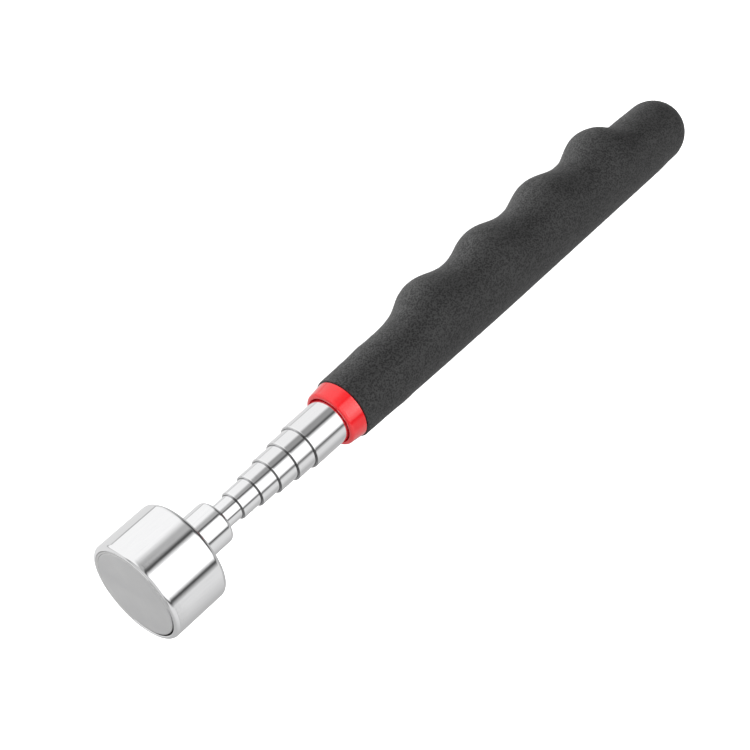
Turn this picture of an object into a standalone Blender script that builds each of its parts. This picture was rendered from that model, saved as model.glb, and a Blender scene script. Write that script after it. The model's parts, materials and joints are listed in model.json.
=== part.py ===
"""Telescopic magnetic pick-up tool, closed, as an assembly of separate solids.

A chromed cup with a magnet sits on the thinnest of six nested steel tubes. Each
sliding tube carries a brass tail bush with two half-shell friction springs, and
the swaged lip on the next larger tube keeps them in. The largest tube is fixed
in a red collar and a foam grip with four finger bumps.

Frame: the origin is the centre of the magnet's working face, +X runs along the
tool to the end of the grip, the finger bumps face +Y and +Z is up. Lengths in
this file are in millimetres, and MM turns them into Blender's metres.
"""

import math

import bmesh
import bpy

MM = 0.001
SIDES = 40
SMALL_SIDES = 32
ARC_STEPS = 3
SHARP_ANGLE = math.radians(32)
FIT_GAP = 0.02

# Head
CUP_RADIUS = 13.5
CUP_LENGTH = 16.45
CUP_BORE = 12.2
CUP_FLOOR = 2.1
CUP_FRONT_ROUND = 1.1
CUP_REAR_ROUND = 1.3
MAGNET_RADIUS = 11.7
MAGNET_LENGTH = 12.6
SPACER_RECESS = 0.6
NECK_RADIUS = 5.7
NECK_END = 26.9
NECK_ROUND = 1.0
RIVET_RADIUS = 3.0
RIVET_HEAD_RADIUS = 4.2
RIVET_HEAD_LENGTH = 1.0
SOCKET_DEPTH = 7.6

# Telescopic tubes, numbered from the fixed one in the grip to the thinnest
TUBES = 6
TUBE_1_RADIUS = 6.15
RADIUS_STEP = 0.58
WALL = 0.35
TUBE_1_FRONT = 55.25
EXPOSED = 5.75
LIP_LENGTH = 1.0
LIP_CHAMFER = 0.2
LIP_CLEARANCE = 0.06
LIP_ROUND = 0.26

# Tail bushes and friction springs
BUSH_LENGTH = 10.0
SPIGOT_LENGTH = 3.0
FLANGE_LENGTH = 1.0
FLANGE_CLEARANCE = 0.1
BUSH_GAP = 0.3
VENT_RADIUS = 1.1
SPRING_THICKNESS = 0.3
SPRING_CLEARANCE = 0.05
SPRING_SWEEP = math.radians(164)
SPRING_STEPS = 12

# Handle
PLUG_FRONT = 182.1
PLUG_SPIGOT = 3.0
PLUG_HEAD = 2.5
COLLAR_FRONT = 66.3
COLLAR_LENGTH = 4.8
COLLAR_FRONT_RADIUS = 7.65
COLLAR_REAR_RADIUS = 8.1
COLLAR_MOUTH_RADIUS = 6.42
COLLAR_MOUTH_DEPTH = 1.6
COLLAR_LIP_ROUND = 0.55
SLEEVE_RADIUS = 6.9
SLEEVE_LENGTH = 10.0
GRIP_FRONT = 71.2
GRIP_DOME_CENTRE = 204.27
GRIP_DOME_RADIUS = 9.03
DOME_BLEND_START = 194.8
GRIP_STEP = 3.4
DOME_RINGS = 5
FRONT_RADIUS = 8.5
BODY_RADIUS = 9.27
TAPER_LENGTH = 60.0
TAPER_POWER = 1.6
SWELL_HEIGHT = 0.15
SWELL_CENTRE = 85.6
SWELL_WIDTH = 2.4
BUMPS = 4
BUMP_PITCH = 24.3
FIRST_BUMP = 109.25
BUMP_HEIGHT = 3.8
CREST_POWER = 1.2
LAST_BUMP_EXTRA = 0.65
RIDGE_HEIGHT = 1.43
RIDGE_RISE = (93.4, 106.3)
RIDGE_FALL = (185.9, 193.6)
SIDE_FADE = 2.2


def clear_scene():
    for thing in list(bpy.data.objects):
        bpy.data.objects.remove(thing, do_unlink=True)


def material(name, colour, roughness, metallic):
    made = bpy.data.materials.new(name)
    made.use_nodes = True
    shader = made.node_tree.nodes["Principled BSDF"]
    shader.inputs["Base Color"].default_value = (*colour, 1.0)
    shader.inputs["Roughness"].default_value = roughness
    shader.inputs["Metallic"].default_value = metallic
    return made


def empty(name, x, parent=None):
    """An empty on the tool's axis at x, under an optional parent on the same axis."""
    made = bpy.data.objects.new(name, None)
    made.empty_display_size = 5 * MM
    bpy.context.scene.collection.objects.link(made)
    put(made, x, parent)
    return made


def put(thing, x, parent):
    """Place an object at x on the axis, measured from its parent when it has one."""
    start = parent["axis_x"] if parent else 0.0
    thing.parent = parent
    thing.location = ((x - start) * MM, 0.0, 0.0)
    thing["axis_x"] = x


def finish(name, mesh_data, x, parent, look):
    """Turn a bmesh into a named, shaded object whose origin is on the axis at x."""
    bmesh.ops.recalc_face_normals(mesh_data, faces=mesh_data.faces)
    mesh = bpy.data.meshes.new(name)
    mesh_data.to_mesh(mesh)
    mesh_data.free()
    mesh.materials.append(look)
    mesh.shade_smooth()
    mesh.set_sharp_from_angle(angle=SHARP_ANGLE)
    made = bpy.data.objects.new(name, mesh)
    bpy.context.scene.collection.objects.link(made)
    put(made, x, parent)
    return made


def arc(centre_x, centre_r, radius, first, last, steps=ARC_STEPS):
    """Points of a round in the profile plane, from one angle to another in degrees."""
    points = []
    for step in range(steps + 1):
        angle = math.radians(first + (last - first) * step / steps)
        points.append((centre_x + radius * math.cos(angle), centre_r + radius * math.sin(angle)))
    return points


def spun(profile, start_x, closed, sides, sweep=2 * math.pi, first_angle=0.0):
    """Spin a profile of (x, radius) points around the axis with bmesh's spin."""
    turned_mesh = bmesh.new()
    across = (math.cos(first_angle), math.sin(first_angle))
    verts = []
    for x, radius in profile:
        place = ((x - start_x) * MM, radius * across[0] * MM, radius * across[1] * MM)
        verts.append(turned_mesh.verts.new(place))
    pairs = list(zip(verts, verts[1:], strict=False))
    if closed:
        pairs.append((verts[-1], verts[0]))
    edges = [turned_mesh.edges.new(pair) for pair in pairs]
    bmesh.ops.spin(
        turned_mesh,
        geom=verts + edges,
        cent=(0.0, 0.0, 0.0),
        axis=(1.0, 0.0, 0.0),
        angle=sweep,
        steps=sides,
    )
    bmesh.ops.remove_doubles(turned_mesh, verts=turned_mesh.verts, dist=0.0005 * MM)
    return turned_mesh


def ring(name, profile, parent, look, sides=SIDES):
    """A turned piece with a hole through it: the profile closes on itself."""
    start_x = min(x for x, _ in profile)
    return finish(name, spun(profile, start_x, True, sides), start_x, parent, look)


def plug(name, profile, parent, look, sides=SIDES):
    """A turned piece that is solid on the axis: the profile starts and ends there."""
    start_x = min(x for x, _ in profile)
    return finish(name, spun(profile, start_x, False, sides), start_x, parent, look)


def tube_radius(number):
    return TUBE_1_RADIUS - RADIUS_STEP * (number - 1)


def tube_bore(number):
    return tube_radius(number) - WALL


def tube_front(number):
    """Where a tube's front end is. The last one ends inside the neck's socket."""
    if number == TUBES:
        return NECK_END - SOCKET_DEPTH + BUSH_GAP
    return TUBE_1_FRONT - EXPOSED * (number - 1)


def bush_front(number):
    """The closed bushes stand in a row in front of the plug, a small gap apart."""
    return PLUG_FRONT - (BUSH_GAP + BUSH_LENGTH) * (number - 1)


def tube_rear(number):
    if number == 1:
        return PLUG_FRONT + PLUG_SPIGOT
    return bush_front(number) + SPIGOT_LENGTH


def magnet_cup(parent, look):
    rim = CUP_RADIUS - CUP_FRONT_ROUND
    back = CUP_LENGTH - CUP_REAR_ROUND
    profile = arc(CUP_FRONT_ROUND, rim, CUP_FRONT_ROUND, 180, 90)
    profile += arc(back, CUP_RADIUS - CUP_REAR_ROUND, CUP_REAR_ROUND, 90, 0)
    profile += [
        (CUP_LENGTH, RIVET_RADIUS + FIT_GAP),
        (CUP_LENGTH - CUP_FLOOR, RIVET_RADIUS + FIT_GAP),
        (CUP_LENGTH - CUP_FLOOR, CUP_BORE),
        (CUP_FRONT_ROUND / 4, CUP_BORE),
    ]
    return ring("magnet_cup", profile, parent, look)


def magnet_disc(parent, look):
    edge = 0.25
    profile = [
        (0.0, 0.0),
        (0.0, MAGNET_RADIUS - edge),
        (edge, MAGNET_RADIUS),
        (MAGNET_LENGTH, MAGNET_RADIUS),
        (MAGNET_LENGTH, 0.0),
    ]
    return plug("magnet_disc", profile, parent, look)


def spacer_ring(parent, look):
    profile = [
        (SPACER_RECESS, MAGNET_RADIUS + FIT_GAP),
        (SPACER_RECESS, CUP_BORE - FIT_GAP),
        (MAGNET_LENGTH, CUP_BORE - FIT_GAP),
        (MAGNET_LENGTH, MAGNET_RADIUS + FIT_GAP),
    ]
    return ring("spacer_ring", profile, parent, look)


def neck(parent, look):
    """The ferrule behind the cup, riveted through its floor and bored for tube 6."""
    head_back = CUP_LENGTH - CUP_FLOOR - FIT_GAP
    head_front = head_back - RIVET_HEAD_LENGTH
    shoulder = CUP_LENGTH + FIT_GAP
    bore = tube_radius(TUBES) + FIT_GAP
    profile = [
        (head_front, 0.0),
        (head_front, RIVET_HEAD_RADIUS - RIVET_HEAD_LENGTH / 2),
        (head_back, RIVET_HEAD_RADIUS),
        (head_back, RIVET_RADIUS),
        (shoulder, RIVET_RADIUS),
        (shoulder, NECK_RADIUS),
    ]
    profile += arc(NECK_END - NECK_ROUND, NECK_RADIUS - NECK_ROUND, NECK_ROUND, 90, 0)
    profile += [
        (NECK_END, bore),
        (NECK_END - SOCKET_DEPTH, bore),
        (NECK_END - SOCKET_DEPTH, 0.0),
    ]
    return plug("neck", profile, parent, look)


def tube(number, parent, look):
    """A drawn tube whose front end is swaged in to a lip around the next tube."""
    outer = tube_radius(number)
    bore = tube_bore(number)
    front = tube_front(number)
    rear = tube_rear(number)
    profile = [(rear, bore), (rear, outer)]
    if number == TUBES:
        profile += [(front, outer), (front, bore)]
        return ring(f"tube_{number}", profile, parent, look)
    lip = tube_radius(number + 1) + LIP_CLEARANCE
    profile += arc(front + LIP_ROUND, outer - LIP_ROUND, LIP_ROUND, 90, 180, 3)
    profile += [
        (front, lip),
        (front + LIP_LENGTH, lip),
        (front + LIP_LENGTH + LIP_CHAMFER, bore),
    ]
    return ring(f"tube_{number}", profile, parent, look)


def tail_bush(number, parent, look):
    """The turned bush in a tube's rear end, with a flange that holds the springs."""
    front = bush_front(number)
    rear = front + BUSH_LENGTH
    body = tube_bore(number) - FIT_GAP
    flange = tube_bore(number - 1) - FLANGE_CLEARANCE
    profile = [
        (front, VENT_RADIUS),
        (front, body),
        (rear - FLANGE_LENGTH, body),
        (rear - FLANGE_LENGTH, flange),
        (rear, flange),
        (rear, VENT_RADIUS),
    ]
    return ring(f"tail_bush_{number}", profile, parent, look, SMALL_SIDES)


def friction_spring(number, half, parent, look):
    """One of two bronze half shells between a bush and the tube around it."""
    front = tube_rear(number) + SPRING_CLEARANCE
    rear = bush_front(number) + BUSH_LENGTH - FLANGE_LENGTH - SPRING_CLEARANCE
    outer = tube_bore(number - 1) - SPRING_CLEARANCE
    inner = outer - SPRING_THICKNESS
    profile = [(front, inner), (front, outer), (rear, outer), (rear, inner)]
    first_angle = math.pi * half - SPRING_SWEEP / 2
    shell = spun(profile, front, True, SPRING_STEPS, SPRING_SWEEP, first_angle)
    open_edges = [edge for edge in shell.edges if edge.is_boundary]
    bmesh.ops.holes_fill(shell, edges=open_edges, sides=4)
    return finish(f"friction_spring_{number}{'ab'[half]}", shell, front, parent, look)


def tail_plug(parent, look):
    """The plug that closes the fixed tube and stops the first sliding section."""
    spigot = tube_bore(1) - FIT_GAP
    head = PLUG_FRONT + PLUG_SPIGOT + FIT_GAP
    edge = 0.3
    profile = [
        (PLUG_FRONT, 0.0),
        (PLUG_FRONT, spigot - edge),
        (PLUG_FRONT + edge, spigot),
        (head, spigot),
        (head, TUBE_1_RADIUS),
        (head + PLUG_HEAD - edge, TUBE_1_RADIUS),
        (head + PLUG_HEAD, TUBE_1_RADIUS - edge),
        (head + PLUG_HEAD, 0.0),
    ]
    return plug("tail_plug", profile, parent, look, SMALL_SIDES)


def collar(parent, look):
    """The collar in front of the grip, with a sleeve that the foam is pushed over."""
    bore = TUBE_1_RADIUS + FIT_GAP
    rear = COLLAR_FRONT + COLLAR_LENGTH
    lip_r = COLLAR_FRONT_RADIUS - COLLAR_LIP_ROUND
    profile = [(COLLAR_FRONT, COLLAR_MOUTH_RADIUS)]
    profile += arc(COLLAR_FRONT + COLLAR_LIP_ROUND, lip_r, COLLAR_LIP_ROUND, 180, 90)
    profile += [
        (rear, COLLAR_REAR_RADIUS),
        (rear, SLEEVE_RADIUS),
        (rear + SLEEVE_LENGTH, SLEEVE_RADIUS),
        (rear + SLEEVE_LENGTH, bore),
        (COLLAR_FRONT + COLLAR_MOUTH_DEPTH, bore),
        (COLLAR_FRONT + COLLAR_MOUTH_DEPTH, COLLAR_MOUTH_RADIUS),
    ]
    return ring("collar", profile, parent, look)


def smooth_step(value, low, high):
    part = min(max((value - low) / (high - low), 0.0), 1.0)
    return part * part * (3 - 2 * part)


def body_radius(x):
    """The grip's plain round radius along the axis."""
    if x > GRIP_DOME_CENTRE:
        return math.sqrt(max(GRIP_DOME_RADIUS**2 - (x - GRIP_DOME_CENTRE) ** 2, 0.0))
    taper = max(1 - (x - GRIP_FRONT) / TAPER_LENGTH, 0.0) ** TAPER_POWER
    radius = BODY_RADIUS - (BODY_RADIUS - FRONT_RADIUS) * taper
    radius += SWELL_HEIGHT * math.exp(-(((x - SWELL_CENTRE) / SWELL_WIDTH) ** 2))
    blend = smooth_step(x, DOME_BLEND_START, GRIP_DOME_CENTRE)
    return radius + (GRIP_DOME_RADIUS - BODY_RADIUS) * blend


def finger_height(x):
    """How far the finger side stands out: a low ridge with rounded bumps on it."""
    last_bump = FIRST_BUMP + BUMP_PITCH * (BUMPS - 1)
    rise = smooth_step(x, *RIDGE_RISE)
    fall = 1 - smooth_step(x, *RIDGE_FALL)
    wave = 0.5 + 0.5 * math.cos(2 * math.pi * (x - FIRST_BUMP) / BUMP_PITCH)
    height = RIDGE_HEIGHT + (BUMP_HEIGHT - RIDGE_HEIGHT) * wave**CREST_POWER
    height += LAST_BUMP_EXTRA * math.exp(-(((x - last_bump) / (BUMP_PITCH / 4)) ** 2))
    return height * rise * fall


def grip_point(x, angle):
    """A point of the grip's skin. Angle 0 is +Y, where the finger bumps are."""
    toward_fingers = 0.5 + 0.5 * math.cos(angle)
    radius = body_radius(x) + finger_height(x) * toward_fingers**SIDE_FADE
    across = radius * math.cos(angle) * MM
    up = radius * math.sin(angle) * MM
    return ((x - GRIP_FRONT) * MM, across, up)


def grip_ring(mesh_data, x):
    angles = [2 * math.pi * side / SIDES for side in range(SIDES)]
    return [mesh_data.verts.new(grip_point(x, angle)) for angle in angles]


def bore_ring(mesh_data, x, radius):
    verts = []
    for side in range(SIDES):
        angle = 2 * math.pi * side / SIDES
        across = radius * math.cos(angle) * MM
        up = radius * math.sin(angle) * MM
        verts.append(mesh_data.verts.new(((x - GRIP_FRONT) * MM, across, up)))
    return verts


def join_rings(mesh_data, first, second):
    for side in range(len(first)):
        after = (side + 1) % len(first)
        mesh_data.faces.new((first[side], first[after], second[after], second[side]))


def grip(parent, look):
    """The foam grip: a moulded skin with a dome at the end and a blind bore."""
    skin = bmesh.new()
    length = GRIP_DOME_CENTRE - GRIP_FRONT
    steps = round(length / GRIP_STEP)
    stations = [GRIP_FRONT + length * step / steps for step in range(steps + 1)]
    for ring_number in range(1, DOME_RINGS):
        turn = math.pi / 2 * ring_number / DOME_RINGS
        stations.append(GRIP_DOME_CENTRE + GRIP_DOME_RADIUS * math.sin(turn))
    sleeve_end = COLLAR_FRONT + COLLAR_LENGTH + SLEEVE_LENGTH + FIT_GAP
    bore_end = PLUG_FRONT + PLUG_SPIGOT + PLUG_HEAD + BUSH_GAP
    rings = [
        bore_ring(skin, bore_end, TUBE_1_RADIUS + FIT_GAP),
        bore_ring(skin, sleeve_end, TUBE_1_RADIUS + FIT_GAP),
        bore_ring(skin, sleeve_end, SLEEVE_RADIUS + FIT_GAP),
        bore_ring(skin, GRIP_FRONT, SLEEVE_RADIUS + FIT_GAP),
    ]
    rings += [grip_ring(skin, x) for x in stations]
    for first, second in zip(rings, rings[1:], strict=False):
        join_rings(skin, first, second)
    skin.faces.new(rings[0])
    tip_x = GRIP_DOME_CENTRE + GRIP_DOME_RADIUS - GRIP_FRONT
    tip = skin.verts.new((tip_x * MM, 0.0, 0.0))
    for side in range(SIDES):
        after = (side + 1) % SIDES
        skin.faces.new((rings[-1][side], rings[-1][after], tip))
    return finish("grip", skin, GRIP_FRONT, parent, look)


def build():
    clear_scene()
    chrome = material("chrome", (0.82, 0.82, 0.84), 0.08, 1.0)
    steel = material("ground_magnet", (0.55, 0.55, 0.56), 0.38, 1.0)
    plastic = material("black_plastic", (0.03, 0.03, 0.03), 0.5, 0.0)
    brass = material("brass", (0.72, 0.52, 0.22), 0.3, 1.0)
    bronze = material("spring_bronze", (0.62, 0.36, 0.18), 0.35, 1.0)
    red = material("red_plastic", (0.85, 0.02, 0.02), 0.25, 0.0)
    foam = material("foam", (0.045, 0.045, 0.048), 0.85, 0.0)

    handle = empty("handle", TUBE_1_FRONT)
    tube(1, handle, chrome)
    collar(handle, red)
    grip(handle, foam)
    tail_plug(handle, plastic)

    outer = handle
    for number in range(2, TUBES + 1):
        springs = empty(f"springs_{number}", tube_rear(number), outer)
        for half in (0, 1):
            friction_spring(number, half, springs, bronze)
        section = empty(f"section_{number}", tube_front(number), springs)
        tube(number, section, chrome)
        tail_bush(number, section, brass)
        outer = section

    magnet_cup(outer, chrome)
    magnet_disc(outer, steel)
    spacer_ring(outer, plastic)
    neck(outer, chrome)


build()
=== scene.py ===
import json
import math

import bmesh
import bpy
from mathutils import Matrix, Vector, noise


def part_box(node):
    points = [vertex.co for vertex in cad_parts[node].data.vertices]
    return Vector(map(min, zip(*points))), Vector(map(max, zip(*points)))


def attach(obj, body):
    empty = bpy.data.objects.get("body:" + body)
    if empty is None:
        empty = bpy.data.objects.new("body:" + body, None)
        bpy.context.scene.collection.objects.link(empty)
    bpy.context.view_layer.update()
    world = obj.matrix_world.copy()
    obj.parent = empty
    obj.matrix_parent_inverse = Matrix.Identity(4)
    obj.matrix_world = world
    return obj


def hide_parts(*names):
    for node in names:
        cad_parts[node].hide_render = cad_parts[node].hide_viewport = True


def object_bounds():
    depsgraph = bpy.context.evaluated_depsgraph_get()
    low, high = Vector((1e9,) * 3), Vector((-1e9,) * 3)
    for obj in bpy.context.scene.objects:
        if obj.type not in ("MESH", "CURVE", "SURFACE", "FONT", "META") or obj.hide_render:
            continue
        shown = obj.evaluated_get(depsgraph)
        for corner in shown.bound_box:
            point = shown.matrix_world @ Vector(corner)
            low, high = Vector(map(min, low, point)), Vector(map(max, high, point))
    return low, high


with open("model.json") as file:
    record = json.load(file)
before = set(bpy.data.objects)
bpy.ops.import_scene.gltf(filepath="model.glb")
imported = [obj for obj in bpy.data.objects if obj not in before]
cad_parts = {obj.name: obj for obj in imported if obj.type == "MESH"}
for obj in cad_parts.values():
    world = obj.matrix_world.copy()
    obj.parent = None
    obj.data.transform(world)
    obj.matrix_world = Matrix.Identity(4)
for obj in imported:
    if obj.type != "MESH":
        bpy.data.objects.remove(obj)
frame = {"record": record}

# Looks for the telescopic magnetic pick-up tool. +X runs from the magnet to the
# end of the grip, the finger bumps face +Y and +Z is up. Outlines are written
# in millimetres along and away from the tool's axis, and MM makes them metres.

cad_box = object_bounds()

MM = 0.001
SIDES = 144
THIN_SIDES = 112
PLUG_SIDES = 96
BUSH_SIDES = 72
SHARP_ANGLE = math.radians(28)
SUPPORT = 0.04
EDGE = 0.12
FIT_GAP = 0.02
END_GAP = 0.3
# The point attribute that carries painted shade: on the tube lips, in the potting gap and at the
# collar's mouth.
PAINTED_SHADE = "paint_shade"

# Head
CUP_FLOOR = 2.1
RIVET_RADIUS = 3.0
MAGNET_RADIUS = 11.7
MAGNET_SHIFT = -0.1
POTTING_INSET = 0.08
# The gap in the potting, which is sunk and painted black as shade: where it is about the axis, in
# degrees, how deep and how far around
GAP_SIDE = -97.0
GAP_DEPTH = 0.6
GAP_REACH = (38.0, 66.0)

# Telescopic tubes, bushes and springs
TUBES = 6
WALL = 0.35
LIP_LENGTH = 1.0
LIP_CHAMFER = 0.2
LIP_ROLL = 0.32
LIP_CLEARANCE = 0.06
SPRING_THICKNESS = 0.28
SPRING_BOW = 0.07
SPRING_SWEEP = math.radians(163)
# Painted shade on the lips: how far it reaches along, and how much lighter it is on two sides
LIP_SHADE_REACH = (0.12, 0.24)
SHADE_LIFT_FINGERS = 0.72
SHADE_LIFT_BACK = 0.35
SHADE_LIFT_FINGERS_FROM = (12, 42)
SHADE_LIFT_BACK_FROM = (45, 75)

# Handle
SLEEVE_RADIUS = 6.9
COLLAR_GAP = 0.1
COLLAR_TAPER = 0.45
COLLAR_FLARE = 0.8
COLLAR_TIP = 6.65
COLLAR_NOSE = 0.12
COLLAR_LIP = 0.9

# Grip, with places along it measured from its front face
GRIP_SIDES = 200
GRIP_STEP = 0.36
GRIP_EDGE = 0.35
DOME_STEPS = 34
DOME_RADIUS = 9.03
DOME_BLEND_START = 123.6
FRONT_RADIUS = 8.5
BODY_RADIUS = 9.27
TAPER_LENGTH = 60.0
TAPER_POWER = 1.6
SWELL_HEIGHT = 0.15
SWELL_CENTRE = 14.4
SWELL_WIDTH = 2.4
BUMPS = 4
BUMP_PITCH = 24.3
FIRST_BUMP = 38.05
BUMP_HEIGHT = 3.8
CREST_POWER = 1.2
LAST_BUMP_EXTRA = 0.65
RIDGE_HEIGHT = 1.43
RIDGE_RISE = (22.2, 35.1)
RIDGE_FALL = (114.7, 122.4)
SIDE_FADE = 2.2
# The foam's relief: its height, and the frequency and share of its two sizes of lumps
RELIEF = 0.05
FINE_RELIEF = (1.5, 0.6)
COARSE_RELIEF = (0.45, 0.7)

# Colours, mostly in pairs that a noise mixes
UNIT = (0.0, 1.0)
CHROME = ((0.93, 0.93, 0.935), (0.90, 0.90, 0.91))
# Painted shade on the tube lips
LIP_SHADE = (0.12, 0.12, 0.12)
GROUND_STEEL = ((0.66, 0.66, 0.665), (0.76, 0.76, 0.76))
BRASS = ((0.80, 0.60, 0.26), (0.62, 0.42, 0.16))
BRONZE = ((0.72, 0.42, 0.22), (0.50, 0.27, 0.13))
BLACK = ((0.018, 0.018, 0.019), (0.034, 0.034, 0.035))
GREY_POTTING = ((0.60, 0.60, 0.60), (0.72, 0.72, 0.71))
# Painted shade in the potting gap
GAP_SHADE_BLACK = (0.004, 0.004, 0.004)
RED = ((0.94, 0.020, 0.027), (0.90, 0.016, 0.022))
# Painted shade at the collar's mouth, by the tube
RED_MOUTH_SHADE = (0.8, 0.010, 0.022)
FOAM = ((0.0015, 0.0015, 0.0017), (0.0345, 0.0345, 0.0345))
FLOOR_WHITE = ((0.86, 0.86, 0.86), (0.9, 0.9, 0.9))
WHITE = (1.0, 1.0, 1.0)

# Camera and floor
CAMERA_TILT = math.radians(30.0)
CAMERA_ROLL = math.radians(41.63)
CAMERA_DISTANCE = 0.4417
CAMERA_AIM = Vector((0.08445, 0.0009, 0.0))
CAMERA_LENS = 85.44
FLOOR_SIZE = 6.0
FLOOR_GAP = 0.0002

# Studio. The tool lies between long panels that run along it. Each is given by where it
# starts and ends, in degrees about the tool's axis from +Z towards +Y, and how bright it
# is. The gaps between panels are filled by a smooth change from one to the next.
HEAD_PANELS = (
    ((-168, -144), 0.50),
    ((-92, -72), 0.77),
    ((-61, -58), 0.09),
    ((-49, 7), 1.25),
    ((16, 19), 0.085),
    ((25, 35), 0.47),
    ((49, 118), 1.0),
    ((120.3, 121.3), 0.32),
    ((124, 165), 0.78),
)
COLLAR_PANELS = (
    ((-168, -144), 0.50),
    ((-92, -72), 0.5),
    ((-61, -56), 0.09),
    ((-49, -44), 1.2),
    ((-30, -16), 3.4),
    ((2, 7), 1.25),
    ((16, 30), 0.1),
    ((52, 118), 1.0),
    ((124, 165), 0.78),
)
TUBE_PANELS = (
    ((-168, -144), 0.52),
    ((-128, -116), 0.49),
    ((-89, -73), 0.76),
    ((-60, -57), 0.17),
    ((-45, -1), 1.2),
    ((13, 18), 0.11),
    ((25, 44), 0.32),
    ((56, 118), 0.92),
    ((120.3, 121.3), 0.35),
    ((124, 165), 0.78),
)
REAR_PANELS = (((-180, -62), 0.50), ((-46, 60), 0.08), ((100, 180), 0.50))
# Where one set of panels gives way to the next, as the x part of the direction they lie in
COLLAR_STRIP = (0.25, 0.285, 0.337, 0.348)
TUBE_START = (0.39, 0.43)
REAR_START = (0.60, 0.74)
# What is beyond the tool's front: from where to where it sets in, and how bright it is
FRONT_GAP = (-0.82, -0.86, 0.35)
FRONT_END = (-0.88, -0.92, 0.66)
# Lamps: distance and size in metres, then each one's angle about the tool and its strength
LAMP_REACH = 0.9
LAMP_SIZE = (1.0, 0.7)
SIDE_LAMP = (113.0, 3.2)
COLLAR_LAMP = (20.0, 0.38)
LOW_LAMP = (-45.0, 0.40)


def box_mm(node):
    """A CAD node's start and end along the tool, and its greatest radius, in millimetres."""
    low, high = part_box(node)
    return low.x / MM, high.x / MM, high.z / MM


# ---------------------------------------------------------------- shapes


def smooth_step(value, low, high):
    part = min(max((value - low) / (high - low), 0.0), 1.0)
    return part * part * (3 - 2 * part)


def arc(centre_x, centre_r, radius, first, last, steps=8):
    """A round in the profile plane, between two angles in degrees."""
    points = []
    for step in range(steps + 1):
        angle = math.radians(first + (last - first) * step / steps)
        points.append((centre_x + radius * math.cos(angle), centre_r + radius * math.sin(angle)))
    return points


def supported(profile, closed):
    """Add a point close to both ends of every long stretch, so that its shading stays flat."""
    points = []
    count = len(profile)
    for index, start in enumerate(profile):
        points.append(start)
        if index == count - 1 and not closed:
            break
        end = profile[(index + 1) % count]
        length = math.dist(start, end)
        if length > 6 * SUPPORT:
            for share in (SUPPORT / length, 1 - SUPPORT / length):
                points.append(tuple(a + (b - a) * share for a, b in zip(start, end, strict=True)))
    return points


def circle_of_verts(mesh, x, radius, sides):
    verts = []
    for side in range(sides):
        angle = 2 * math.pi * side / sides
        across = radius * math.cos(angle) * MM
        up = radius * math.sin(angle) * MM
        verts.append(mesh.verts.new((x * MM, across, up)))
    return verts


def join_circles(mesh, first, second):
    for side in range(len(first)):
        after = (side + 1) % len(first)
        mesh.faces.new((first[side], first[after], second[after], second[side]))


def join_rows(mesh, first, second):
    for step in range(len(first) - 1):
        mesh.faces.new((first[step], first[step + 1], second[step + 1], second[step]))


def fan(mesh, circle, tip):
    for side in range(len(circle)):
        mesh.faces.new((circle[side], circle[(side + 1) % len(circle)], tip))


def turned(name, profile, sides=SIDES):
    """A lathe-turned piece. A profile that starts and ends on the axis makes a solid one."""
    solid = profile[0][1] == 0.0
    points = supported(profile, not solid)
    mesh = bmesh.new()
    if solid:
        circles = [circle_of_verts(mesh, x, radius, sides) for x, radius in points[1:-1]]
        fan(mesh, circles[0], mesh.verts.new((points[0][0] * MM, 0.0, 0.0)))
        fan(mesh, circles[-1], mesh.verts.new((points[-1][0] * MM, 0.0, 0.0)))
    else:
        circles = [circle_of_verts(mesh, x, radius, sides) for x, radius in points]
        join_circles(mesh, circles[-1], circles[0])
    for first, second in zip(circles, circles[1:], strict=False):
        join_circles(mesh, first, second)
    return made(name, mesh)


def linked(name, data):
    """A new object in the scene."""
    thing = bpy.data.objects.new(name, data)
    bpy.context.scene.collection.objects.link(thing)
    return thing


def made(name, mesh):
    """Turn a bmesh into a smooth-shaded object."""
    bmesh.ops.recalc_face_normals(mesh, faces=mesh.faces)
    data = bpy.data.meshes.new(name)
    mesh.to_mesh(data)
    mesh.free()
    data.shade_smooth()
    data.set_sharp_from_angle(angle=SHARP_ANGLE)
    return linked(name, data)


def stand_for(piece, node, look):
    """The piece shows this CAD node: it rides on the node's body and takes the look it is given,
    and the node is hidden.
    """
    bodies = frame["record"]["behaviour"]["bodies"]
    body = next(name for name, nodes in bodies.items() if node in nodes)
    piece.data.materials.append(look)
    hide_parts(node)
    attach(piece, body)
    return piece


def paint_shade(piece, amount):
    """Paint shade onto a piece: mark how dark each point is, from its x, radius and angle."""
    marks = piece.data.attributes.new(PAINTED_SHADE, "FLOAT", "POINT")
    for vert, mark in zip(piece.data.vertices, marks.data, strict=True):
        radius = math.hypot(vert.co.y, vert.co.z) / MM
        angle = math.degrees(math.atan2(vert.co.y, vert.co.z))
        mark.value = amount(vert.co.x / MM, radius, angle)


# ---------------------------------------------------------------- materials


def new_look(name, metallic=0.0):
    """A Principled material, with its node tree, shader and object coordinates."""
    look = bpy.data.materials.new(name)
    look.use_nodes = True
    tree = look.node_tree
    shader = tree.nodes["Principled BSDF"]
    shader.inputs["Metallic"].default_value = metallic
    coordinates = tree.nodes.new("ShaderNodeTexCoord").outputs["Object"]
    return look, tree, shader, coordinates


def stretched(tree, vector, scale):
    mapping = tree.nodes.new("ShaderNodeMapping")
    mapping.inputs["Scale"].default_value = scale
    tree.links.new(vector, mapping.inputs["Vector"])
    return mapping.outputs["Vector"]


def noise_of(tree, vector, scale, detail=3.0, rough=0.5):
    texture = tree.nodes.new("ShaderNodeTexNoise")
    texture.inputs["Scale"].default_value = scale
    texture.inputs["Detail"].default_value = detail
    texture.inputs["Roughness"].default_value = rough
    tree.links.new(vector, texture.inputs["Vector"])
    return texture.outputs["Fac"]


def cells_of(tree, vector, scale):
    texture = tree.nodes.new("ShaderNodeTexVoronoi")
    texture.inputs["Scale"].default_value = scale
    tree.links.new(vector, texture.inputs["Vector"])
    return texture.outputs["Distance"]


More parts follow.
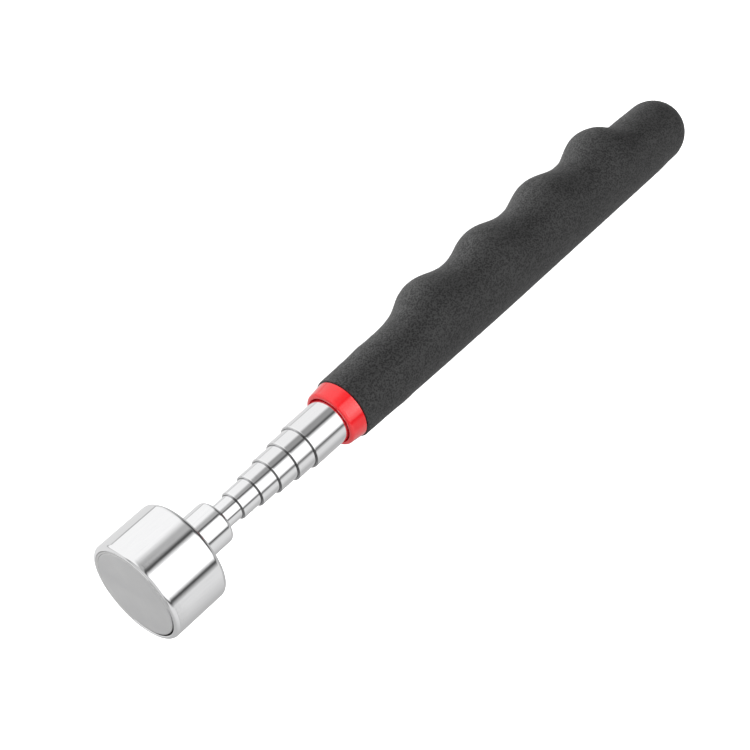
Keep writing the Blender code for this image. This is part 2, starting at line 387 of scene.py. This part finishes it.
def mapped(tree, value, source, target=UNIT):
    """Map a value from one range to another, clamped."""
    node = tree.nodes.new("ShaderNodeMapRange")
    tree.links.new(value, node.inputs["Value"])
    node.inputs["From Min"].default_value = source[0]
    node.inputs["From Max"].default_value = source[1]
    node.inputs["To Min"].default_value = target[0]
    node.inputs["To Max"].default_value = target[1]
    return node.outputs["Result"]


def mixed(tree, factor, first, second):
    """Mix two colours, each given as numbers or as a link."""
    node = tree.nodes.new("ShaderNodeMix")
    node.data_type = "RGBA"
    tree.links.new(factor, node.inputs["Factor"])
    for colour, entry in ((first, "A"), (second, "B")):
        if isinstance(colour, tuple):
            node.inputs[entry].default_value = (*colour, 1.0)
        else:
            tree.links.new(colour, node.inputs[entry])
    return node.outputs["Result"]


def combined(tree, operation, first, second):
    node = tree.nodes.new("ShaderNodeMath")
    node.operation = operation
    tree.links.new(first, node.inputs[0])
    if isinstance(second, float):
        node.inputs[1].default_value = second
    else:
        tree.links.new(second, node.inputs[1])
    return node.outputs["Value"]


def raised(tree, height, depth, under=None):
    """A bump of this depth, on top of another bump if one is given."""
    node = tree.nodes.new("ShaderNodeBump")
    node.inputs["Strength"].default_value = 1.0
    node.inputs["Distance"].default_value = depth * MM
    tree.links.new(height, node.inputs["Height"])
    if under is not None:
        tree.links.new(under, node.inputs["Normal"])
    return node.outputs["Normal"]


# The painted shade marked on a piece's points.
def painted_shade_of(tree):
    node = tree.nodes.new("ShaderNodeAttribute")
    node.attribute_name = PAINTED_SHADE
    return node.outputs["Fac"]


def feed(tree, shader, colour, roughness):
    tree.links.new(colour, shader.inputs["Base Color"])
    tree.links.new(roughness, shader.inputs["Roughness"])


def chrome(name, streaks, lips=False):
    """Bright chrome plate: slight waves, fine polishing streaks and uneven gloss. On the
    tubes the lips have painted shade: patchy dark grey with less gloss, lighter on two sides."""
    look, tree, shader, place = new_look(name, metallic=1.0)
    fine = noise_of(tree, stretched(tree, place, streaks), scale=1.0, detail=4.0, rough=0.6)
    clouds = noise_of(tree, place, scale=160.0, detail=2.0)
    waves = noise_of(tree, place, scale=1300.0)
    rub = mapped(tree, fine, (0.35, 0.75), (0.02, 0.08))
    gloss = combined(tree, "ADD", rub, mapped(tree, clouds, (0.4, 0.7), (0.0, 0.03)))
    colour = mixed(tree, mapped(tree, fine, (0.3, 0.7)), *CHROME)
    # Painted shade on the lips: patchy dark grey with less gloss.
    if lips:
        spots = mapped(tree, clouds, (0.2, 0.5), (0.85, 1.0))
        patchy_lip_shade = combined(tree, "MULTIPLY", painted_shade_of(tree), spots)
        colour = mixed(tree, patchy_lip_shade, colour, LIP_SHADE)
        gloss = combined(tree, "ADD", gloss, combined(tree, "MULTIPLY", patchy_lip_shade, 0.2))
    feed(tree, shader, colour, gloss)
    normal = raised(tree, waves, depth=0.003)
    tree.links.new(raised(tree, fine, depth=0.001, under=normal), shader.inputs["Normal"])
    return look


def ground_magnet():
    """The magnet's ground face: satin, with fine grinding lines and a grain."""
    look, tree, shader, place = new_look("ground_magnet", metallic=0.9)
    along_lines = stretched(tree, place, (2500.0, 180.0, 4200.0))
    lines = noise_of(tree, along_lines, scale=1.0, detail=4.0, rough=0.6)
    grain = noise_of(tree, place, scale=5200.0, detail=2.0)
    clouds = noise_of(tree, place, scale=120.0)
    line_part = combined(tree, "MULTIPLY", lines, 0.45)
    cloud_part = combined(tree, "MULTIPLY", clouds, 0.55)
    tone = combined(tree, "ADD", line_part, cloud_part)
    colour = mixed(tree, mapped(tree, tone, (0.3, 0.7)), *GROUND_STEEL)
    feed(tree, shader, colour, mapped(tree, lines, (0.3, 0.7), (0.38, 0.52)))
    normal = raised(tree, lines, depth=0.004)
    tree.links.new(raised(tree, grain, depth=0.004, under=normal), shader.inputs["Normal"])
    return look


def turned_metal(name, bright, dull, rough):
    """Brass or bronze with turning rings around the axis and light tarnish."""
    look, tree, shader, place = new_look(name, metallic=1.0)
    rings = noise_of(tree, stretched(tree, place, (9000.0, 120.0, 120.0)), scale=1.0)
    tarnish = noise_of(tree, place, scale=420.0, detail=4.0, rough=0.6)
    colour = mixed(tree, mapped(tree, tarnish, (0.35, 0.7)), bright, dull)
    feed(tree, shader, colour, mapped(tree, tarnish, (0.3, 0.7), (rough, rough + 0.2)))
    tree.links.new(raised(tree, rings, depth=0.01), shader.inputs["Normal"])
    return look


def black_plastic():
    """Matt moulded plastic with a spark-eroded grain."""
    look, tree, shader, place = new_look("black_plastic")
    grain = noise_of(tree, place, scale=4200.0)
    clouds = noise_of(tree, place, scale=300.0, detail=2.0)
    colour = mixed(tree, clouds, *BLACK)
    feed(tree, shader, colour, mapped(tree, grain, (0.3, 0.7), (0.42, 0.58)))
    tree.links.new(raised(tree, grain, depth=0.01), shader.inputs["Normal"])
    return look


def potting():
    """Grey potting round the magnet, which has shrunk back and left a sunken gap at one side,
    painted black as shade, with less gloss.
    """
    look, tree, shader, place = new_look("potting")
    grain = noise_of(tree, place, scale=4200.0)
    # Painted shade: black in the gap, with less gloss.
    gap_shade = painted_shade_of(tree)
    colour = mixed(tree, gap_shade, mixed(tree, grain, *GREY_POTTING), GAP_SHADE_BLACK)
    feed(tree, shader, colour, mapped(tree, grain, (0.3, 0.7), (0.4, 0.6)))
    tree.links.new(mapped(tree, gap_shade, UNIT, (0.5, 0.05)), shader.inputs["Specular IOR Level"])
    tree.links.new(raised(tree, grain, depth=0.02), shader.inputs["Normal"])
    return look


def red_plastic():
    """Glossy red moulded plastic with a faint orange peel and fine rub marks. Its mouth by
    the tube has painted shade: darker red, with less gloss and no coat."""
    look, tree, shader, place = new_look("red_plastic")
    peel = noise_of(tree, place, scale=900.0, detail=2.0)
    rubs = noise_of(tree, stretched(tree, place, (6000.0, 500.0, 500.0)), scale=1.0)
    clouds = noise_of(tree, place, scale=260.0, detail=2.0)
    # Painted shade at the collar's mouth
    edge = painted_shade_of(tree)
    colour = mixed(tree, mapped(tree, clouds, (0.35, 0.65)), *RED)
    roughness = mapped(tree, rubs, (0.35, 0.75), (0.06, 0.14))
    feed(tree, shader, mixed(tree, edge, colour, RED_MOUTH_SHADE), roughness)
    tree.links.new(mapped(tree, edge, UNIT, (0.5, 0.15)), shader.inputs["Specular IOR Level"])
    tree.links.new(mapped(tree, edge, UNIT, (0.6, 0.0)), shader.inputs["Coat Weight"])
    shader.inputs["Coat Roughness"].default_value = 0.03
    tree.links.new(raised(tree, peel, depth=0.004), shader.inputs["Normal"])
    return look


def foam():
    """Closed-cell black foam: a dull skin of tiny open cells with paler walls."""
    look, tree, shader, place = new_look("foam")
    cells = cells_of(tree, place, scale=2100.0)
    grain = noise_of(tree, place, scale=2600.0, rough=0.65)
    clouds = noise_of(tree, place, scale=260.0)
    cell_part = combined(tree, "MULTIPLY", cells, 0.8)
    grain_part = combined(tree, "MULTIPLY", grain, 0.6)
    speck = combined(tree, "ADD", cell_part, grain_part)
    tone = combined(tree, "ADD", speck, combined(tree, "MULTIPLY", clouds, 0.25))
    colour = mixed(tree, mapped(tree, tone, (0.62, 0.94)), *FOAM)
    feed(tree, shader, colour, mapped(tree, grain, (0.3, 0.7), (0.42, 0.60)))
    shader.inputs["Specular IOR Level"].default_value = 0.45
    tree.links.new(raised(tree, speck, depth=0.13), shader.inputs["Normal"])
    return look


# ---------------------------------------------------------------- head


def magnet_cup(look):
    """The deep-drawn cup: rolled front rim, rounded shoulder and a pierced floor."""
    front, rear, radius = box_mm("magnet_cup")
    bore = box_mm("spacer_ring")[2] + FIT_GAP
    hole = RIVET_RADIUS + FIT_GAP
    rim = 1.1
    shoulder = 1.3
    inner = 0.3
    profile = arc(front + rim, radius - rim, rim, 180, 90, 12)
    profile += arc(rear - shoulder, radius - shoulder, shoulder, 90, 0, 12)
    profile += [(rear, hole), (rear - CUP_FLOOR, hole)]
    profile += [(rear - CUP_FLOOR, bore)]
    profile += arc(front + inner, bore + inner, inner, 270, 180, 6)
    return stand_for(turned("cup_shell", profile), "magnet_cup", look)


def magnet_disc(look):
    """The magnet. It was pulled to one side of the cup when it was glued in."""
    front, rear, _ = box_mm("magnet_disc")
    edge = 0.28
    profile = [(front, 0.0)]
    profile += arc(front + edge, MAGNET_RADIUS - edge, edge, 180, 90, 6)
    profile += arc(rear - edge, MAGNET_RADIUS - edge, edge, 90, 0, 4)
    profile += [(rear, 0.0)]
    disc = turned("magnet", profile)
    for vert in disc.data.vertices:
        vert.co.y += MAGNET_SHIFT * MM
    return stand_for(disc, "magnet_disc", look)


def spacer_ring(look):
    """The ring round the magnet, filled flush with potting except for a gap at one side."""
    front, rear, radius = box_mm("spacer_ring")
    flush = box_mm("magnet_disc")[0] + POTTING_INSET
    inner = MAGNET_RADIUS + FIT_GAP
    ring = turned("spacer", [(flush, inner), (flush, radius), (rear, radius), (rear, inner)])
    # Painted shade: the gap side is marked to be painted black, and the same mark sinks it.
    paint_shade(ring, lambda x, radius, angle: 1 - smooth_step(abs(angle - GAP_SIDE), *GAP_REACH))
    for vert, mark in zip(ring.data.vertices, ring.data.attributes[PAINTED_SHADE].data, strict=True):
        if math.hypot(vert.co.y, vert.co.z) < (inner + SUPPORT) * MM:
            vert.co.y += MAGNET_SHIFT * MM
        if vert.co.x < front * MM:
            vert.co.x += (front + GAP_DEPTH - flush) * mark.value * MM
    return stand_for(ring, "spacer_ring", look)


def neck(look):
    """The turned ferrule: rivet head in the cup, shoulder, and a rolled mouth at the rear."""
    front, rear, radius = box_mm("neck")
    cup_rear = box_mm("magnet_cup")[1]
    tube_front, _, tube_radius = box_mm(f"tube_{TUBES}")
    bore = tube_radius + FIT_GAP
    seat = tube_front - END_GAP
    under_head = cup_rear - CUP_FLOOR - FIT_GAP
    shoulder = cup_rear + FIT_GAP
    head = 4.2
    head_round = 0.6
    edge = 0.25
    mouth = 1.0
    profile = [(front, 0.0), (front, head - head_round)]
    profile += arc(front + head_round, head - head_round, head_round, 180, 90, 6)[1:]
    profile += [(under_head, head), (under_head, RIVET_RADIUS), (shoulder, RIVET_RADIUS)]
    profile += arc(shoulder + edge, radius - edge, edge, 180, 90, 5)
    profile += arc(rear - mouth, radius - mouth, mouth, 90, 0, 10)
    profile += arc(rear - edge, bore + edge, edge, 0, -90, 4)
    profile += [(seat, bore), (seat, 0.0)]
    return stand_for(turned("neck_ferrule", profile), "neck", look)


# ---------------------------------------------------------------- telescopic tubes


def shade_lifted(angle):
    """How much lighter the painted shade on a lip is, which is most on the finger side."""
    fingers = SHADE_LIFT_FINGERS * smooth_step(angle, *SHADE_LIFT_FINGERS_FROM)
    back = SHADE_LIFT_BACK * smooth_step(-angle, *SHADE_LIFT_BACK_FROM)
    return fingers + back


def tube(number, look):
    """A drawn tube. Its front end is swaged in to a rounded lip around the next tube."""
    node = f"tube_{number}"
    front, rear, radius = box_mm(node)
    bore = radius - WALL
    profile = [(rear, bore + EDGE)]
    profile += [(rear, radius - EDGE), (rear - EDGE, radius)]
    if number == TUBES:
        profile += [(front + EDGE, radius), (front, radius - EDGE), (front, bore)]
        profile += [(rear - EDGE, bore)]
        return stand_for(turned(f"{node}_drawn", profile, THIN_SIDES), node, look)
    lip = box_mm(f"tube_{number + 1}")[2] + LIP_CLEARANCE
    inner = 0.1
    profile += arc(front + LIP_ROLL, radius - LIP_ROLL, LIP_ROLL, 90, 180, 10)
    profile += arc(front + inner, lip + inner, inner, 180, 270, 3)
    profile += [(front + LIP_LENGTH, lip), (front + LIP_LENGTH + LIP_CHAMFER, bore)]
    profile += [(rear - EDGE, bore)]
    drawn = turned(f"{node}_drawn", profile, THIN_SIDES)

    # Painted shade on the lip: dark near the front, lighter on the finger side and the back.
    def lip_shade_at(x, _, angle):
        return (1 - shade_lifted(angle)) * (1 - smooth_step(x - front, *LIP_SHADE_REACH))

    paint_shade(drawn, lip_shade_at)
    return stand_for(drawn, node, look)


def tail_bush(number, look):
    """The turned bush: a spigot in the tube, a waist for the springs and a flange."""
    node = f"tail_bush_{number}"
    front, rear, flange = box_mm(node)
    body = box_mm(f"tube_{number}")[2] - WALL - FIT_GAP
    waist = body - 0.1
    waist_front = front + 3.3
    spigot_end = front + 3.1
    back = rear - 1.0
    waist_rear = back - 0.3
    vent = 1.1
    edge = 0.15
    profile = [
        (front, vent + edge),
        (front, body - edge),
        (front + edge, body),
        (spigot_end, body),
        (waist_front, waist),
        (waist_rear, waist),
        (back, body),
        (back, flange - edge),
        (back + edge, flange),
        (rear - edge, flange),
        (rear, flange - edge),
        (rear, vent + edge),
        (rear - edge, vent),
        (front + edge, vent),
    ]
    return stand_for(turned(f"{node}_turned", profile, BUSH_SIDES), node, look)


def friction_spring(number, half, look):
    """A bronze half shell, bowed a little so that its middle presses on the tube."""
    node = f"friction_spring_{number}{'ab'[half]}"
    low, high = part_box(node)
    front = low.x / MM
    rear = high.x / MM
    outer = max(-low.y, high.y) / MM
    around = 40
    along = 16
    mesh = bmesh.new()
    skins = []
    for inset in (0.0, SPRING_THICKNESS):
        rows = []
        for step in range(along + 1):
            share = step / along
            x = front + (rear - front) * share
            radius = outer - inset - SPRING_BOW * (2 * share - 1) ** 2
            row = []
            for side in range(around + 1):
                angle = math.pi * half - SPRING_SWEEP / 2 + SPRING_SWEEP * side / around
                spot = (x, radius * math.cos(angle), radius * math.sin(angle))
                row.append(mesh.verts.new(Vector(spot) * MM))
            rows.append(row)
        skins.append(rows)
        for first, second in zip(rows, rows[1:], strict=False):
            join_rows(mesh, first, second)
    upper, lower = skins
    for end in (0, along):
        join_rows(mesh, upper[end], lower[end])
    for edge in (0, around):
        join_rows(mesh, [row[edge] for row in upper], [row[edge] for row in lower])
    return stand_for(made(f"{node}_rolled", mesh), node, look)


# ---------------------------------------------------------------- handle


def tail_plug(look):
    """The moulded plug: a spigot in tube 1 and a head with a rounded end."""
    front, rear, radius = box_mm("tail_plug")
    _, tube_rear, tube_radius = box_mm("tube_1")
    spigot = tube_radius - WALL - FIT_GAP
    step = tube_rear + FIT_GAP
    edge = 0.3
    corner = 0.1
    profile = [
        (front, 0.0),
        (front, spigot - edge),
        (front + edge, spigot),
        (step, spigot),
        (step, radius - corner),
        (step + corner, radius),
    ]
    profile += arc(rear - edge, radius - edge, edge, 90, 0, 5)
    profile += [(rear, 0.0)]
    return stand_for(turned("tail_plug_moulded", profile, PLUG_SIDES), "tail_plug", look)


def collar(look):
    """The red collar: rounded front lip, flared mouth, slight taper and a rear sleeve."""
    front, rear, radius = box_mm("collar")
    step = box_mm("grip")[0] - COLLAR_GAP
    corner = 0.15
    lip_radius = radius - COLLAR_TAPER - COLLAR_LIP
    sleeve = SLEEVE_RADIUS
    bore = box_mm("tube_1")[2] + FIT_GAP
    profile = [(front + COLLAR_FLARE, bore)]
    profile += arc(front + COLLAR_NOSE, COLLAR_TIP, COLLAR_NOSE, 240, 180, 4)
    profile += arc(front + COLLAR_LIP, lip_radius, COLLAR_LIP, 180, 90, 12)
    profile += [(step - corner, radius), (step, radius - corner), (step, sleeve)]
    profile += [(rear - EDGE, sleeve), (rear, sleeve - EDGE), (rear, bore)]
    ring = turned("collar_ring", profile)
    # Painted shade on the mouth, inside the nose, by the tube.
    paint_shade(ring, lambda _, radius, __: 1 - smooth_step(radius, COLLAR_TIP - COLLAR_NOSE, COLLAR_TIP))
    return stand_for(ring, "collar", look)


def body_radius(along, dome_centre):
    """The grip's round radius at a distance from its front face."""
    if along > dome_centre:
        return math.sqrt(max(DOME_RADIUS**2 - (along - dome_centre) ** 2, 0.0))
    taper = max(1 - along / TAPER_LENGTH, 0.0) ** TAPER_POWER
    radius = BODY_RADIUS - (BODY_RADIUS - FRONT_RADIUS) * taper
    radius += SWELL_HEIGHT * math.exp(-(((along - SWELL_CENTRE) / SWELL_WIDTH) ** 2))
    blend = smooth_step(along, DOME_BLEND_START, dome_centre)
    return radius + (DOME_RADIUS - BODY_RADIUS) * blend


def finger_height(along):
    """How far the finger side stands out from the round body."""
    last_bump = FIRST_BUMP + BUMP_PITCH * (BUMPS - 1)
    wave = 0.5 + 0.5 * math.cos(2 * math.pi * (along - FIRST_BUMP) / BUMP_PITCH)
    height = RIDGE_HEIGHT + (BUMP_HEIGHT - RIDGE_HEIGHT) * wave**CREST_POWER
    height += LAST_BUMP_EXTRA * math.exp(-(((along - last_bump) / (BUMP_PITCH / 4)) ** 2))
    return height * smooth_step(along, *RIDGE_RISE) * (1 - smooth_step(along, *RIDGE_FALL))


def foam_relief(spot):
    """The uneven skin of the foam: pits and lumps from a fraction of a millimetre up."""
    parts = [share * noise.noise(spot * often) for often, share in (FINE_RELIEF, COARSE_RELIEF)]
    return RELIEF * (parts[0] + parts[1])


def grip_circle(mesh, front, along, dome_centre):
    verts = []
    for side in range(GRIP_SIDES):
        angle = 2 * math.pi * side / GRIP_SIDES
        radius = body_radius(along, dome_centre)
        toward_fingers = 0.5 + 0.5 * math.cos(angle)
        radius += finger_height(along) * toward_fingers**SIDE_FADE
        spot = Vector((front + along, radius * math.cos(angle), radius * math.sin(angle)))
        radius += foam_relief(spot)
        across = radius * math.cos(angle) * MM
        up = radius * math.sin(angle) * MM
        verts.append(mesh.verts.new((spot.x * MM, across, up)))
    return verts


def grip(look):
    """The moulded foam grip, with a rounded front edge, finger bumps and a domed end."""
    front, rear, _ = box_mm("grip")
    dome_centre = rear - front - DOME_RADIUS
    sleeve_end = box_mm("collar")[1] + FIT_GAP
    sleeve = SLEEVE_RADIUS + FIT_GAP
    bore = box_mm("tube_1")[2] + FIT_GAP
    bore_end = box_mm("tail_plug")[1] + END_GAP
    mesh = bmesh.new()
    circles = [
        circle_of_verts(mesh, bore_end, bore, GRIP_SIDES),
        circle_of_verts(mesh, sleeve_end, bore, GRIP_SIDES),
        circle_of_verts(mesh, sleeve_end, sleeve, GRIP_SIDES),
        circle_of_verts(mesh, front, sleeve, GRIP_SIDES),
    ]
    edge = GRIP_EDGE
    for x, radius in arc(front + edge, FRONT_RADIUS - edge, edge, 180, 90, 4)[:-1]:
        circles.append(circle_of_verts(mesh, x, radius, GRIP_SIDES))
    steps = round((dome_centre - edge) / GRIP_STEP)
    stations = [edge + (dome_centre - edge) * step / steps for step in range(steps + 1)]
    turns = [math.pi / 2 * step / DOME_STEPS for step in range(1, DOME_STEPS)]
    stations += [dome_centre + DOME_RADIUS * math.sin(turn) for turn in turns]
    circles += [grip_circle(mesh, front, along, dome_centre) for along in stations]
    for first, second in zip(circles, circles[1:], strict=False):
        join_circles(mesh, first, second)
    fan(mesh, circles[0], mesh.verts.new((bore_end * MM, 0.0, 0.0)))
    fan(mesh, circles[-1], mesh.verts.new((rear * MM, 0.0, 0.0)))
    return stand_for(made("grip_foam", mesh), "grip", look)


# ---------------------------------------------------------------- studio


def camera():
    """The eye, tilted and rolled as CAMERA_TILT and CAMERA_ROLL say."""
    along = Vector((math.cos(CAMERA_TILT), 0.0, math.sin(CAMERA_TILT)))
    across = Vector((0.0, 1.0, 0.0))
    back = Vector((-math.sin(CAMERA_TILT), 0.0, math.cos(CAMERA_TILT)))
    right = along * math.cos(CAMERA_ROLL) - across * math.sin(CAMERA_ROLL)
    up = along * math.sin(CAMERA_ROLL) + across * math.cos(CAMERA_ROLL)
    eye = linked("camera", bpy.data.cameras.new("camera"))
    eye.data.lens = CAMERA_LENS
    eye.data.clip_start = 0.01
    turn = Matrix((right, up, back)).transposed().to_4x4()
    eye.matrix_world = Matrix.Translation(CAMERA_AIM + back * CAMERA_DISTANCE) @ turn
    bpy.context.scene.camera = eye


def soft_box(name, angle, strength, piece):
    """A lamp beside the tool, at an angle about its axis, that adds to the soft light on
    one matt piece. A white surface that faces it looks as bright as its strength."""
    angle = math.radians(angle)
    back = Vector((0.0, math.sin(angle), math.cos(angle)))
    side = Vector((1.0, 0.0, 0.0))
    lamp = bpy.data.lights.new(name, "AREA")
    lamp.shape = "RECTANGLE"
    lamp.size, lamp.size_y = LAMP_SIZE
    lamp.energy = strength * (math.pi * LAMP_REACH) ** 2
    stand = linked(name, lamp)
    turn = Matrix((side, back.cross(side), back)).transposed().to_4x4()
    stand.matrix_world = Matrix.Translation(CAMERA_AIM + back * LAMP_REACH) @ turn
    stand.visible_camera = False
    stand.visible_glossy = False
    lit = bpy.data.collections.new(f"lit_by_{name}")
    lit.objects.link(piece)
    stand.light_linking.receiver_collection = lit


def floor():
    """A white floor, so evenly lit that no shadow shows on it."""
    mesh = bmesh.new()
    bmesh.ops.create_grid(mesh, x_segments=1, y_segments=1, size=FLOOR_SIZE / 2)
    data = bpy.data.meshes.new("floor")
    mesh.to_mesh(data)
    mesh.free()
    sheet = linked("floor", data)
    sheet.location = (CAMERA_AIM.x, 0.0, cad_box[0][2] - FLOOR_GAP)
    sheet.visible_diffuse = False
    sheet.visible_glossy = False
    sheet.visible_shadow = False
    look, tree, shader, place = new_look("white_floor")
    tint = mixed(tree, noise_of(tree, place, scale=3.0), *FLOOR_WHITE)
    tree.links.new(tint, shader.inputs["Base Color"])
    shader.inputs["Roughness"].default_value = 0.9
    shader.inputs["Emission Color"].default_value = (*WHITE, 1.0)
    shader.inputs["Emission Strength"].default_value = 1.0
    data.materials.append(look)


def panel_ramp(tree, angle, panels):
    """The brightness of a set of panels at an angle about the tool, in radians."""
    ramp = tree.nodes.new("ShaderNodeValToRGB")
    stops = ramp.color_ramp.elements
    edges = [(edge, shade) for panel, shade in panels for edge in panel]
    for index, (edge, shade) in enumerate(edges):
        place = 0.5 + edge / 360
        stop = stops[index] if index < 2 else stops.new(place)
        stop.position = place
        stop.color = (shade, shade, shade, 1.0)
    tree.links.new(mapped(tree, angle, (-math.pi, math.pi)), ramp.inputs["Fac"])
    return ramp.outputs["Color"]


def surroundings():
    """White to the eye. In reflections, the sets of panels and a grey front end."""
    world = bpy.data.worlds.new("studio")
    bpy.context.scene.world = world
    world.use_nodes = True
    tree = world.node_tree
    way = tree.nodes.new("ShaderNodeTexCoord").outputs["Generated"]
    split = tree.nodes.new("ShaderNodeSeparateXYZ")
    tree.links.new(way, split.inputs["Vector"])
    x, y, z = split.outputs
    angle = combined(tree, "ARCTAN2", y, z)
    shade = panel_ramp(tree, angle, HEAD_PANELS)
    start, full, fading, end = COLLAR_STRIP
    sets_in = mapped(tree, x, (start, full))
    fades = mapped(tree, x, (fading, end), (1.0, 0.0))
    strip = combined(tree, "MULTIPLY", sets_in, fades)
    shade = mixed(tree, strip, shade, panel_ramp(tree, angle, COLLAR_PANELS))
    for panels, reach in ((TUBE_PANELS, TUBE_START), (REAR_PANELS, REAR_START)):
        shade = mixed(tree, mapped(tree, x, reach), shade, panel_ramp(tree, angle, panels))
    for first, last, level in (FRONT_GAP, FRONT_END):
        shade = mixed(tree, mapped(tree, x, (first, last)), shade, (level, level, level))
    camera_ray = tree.nodes.new("ShaderNodeLightPath").outputs["Is Camera Ray"]
    shade = mixed(tree, camera_ray, shade, WHITE)
    tree.links.new(shade, tree.nodes["Background"].inputs["Color"])


def studio(red_collar, foam_grip):
    """Camera, floor, surroundings, and the lamps that each light one of these pieces."""
    camera()
    floor()
    surroundings()
    soft_box("side_lamp", *SIDE_LAMP, foam_grip)
    soft_box("low_lamp", *LOW_LAMP, foam_grip)
    soft_box("collar_lamp", *COLLAR_LAMP, red_collar)
    bpy.context.scene.view_settings.view_transform = "Standard"


# ---------------------------------------------------------------- build

cup_chrome = chrome("cup_chrome", streaks=(150.0, 3600.0, 3600.0))
tube_chrome = chrome("tube_chrome", streaks=(60.0, 5200.0, 5200.0), lips=True)
brass = turned_metal("turned_brass", *BRASS, rough=0.24)
bronze = turned_metal("spring_bronze", *BRONZE, rough=0.28)
black = black_plastic()

magnet_cup(cup_chrome)
neck(cup_chrome)
magnet_disc(ground_magnet())
spacer_ring(potting())
for tube_number in range(1, TUBES + 1):
    tube(tube_number, tube_chrome)
for bush_number in range(2, TUBES + 1):
    tail_bush(bush_number, brass)
    friction_spring(bush_number, 0, bronze)
    friction_spring(bush_number, 1, bronze)
tail_plug(black)
studio(collar(red_plastic()), grip(foam()))
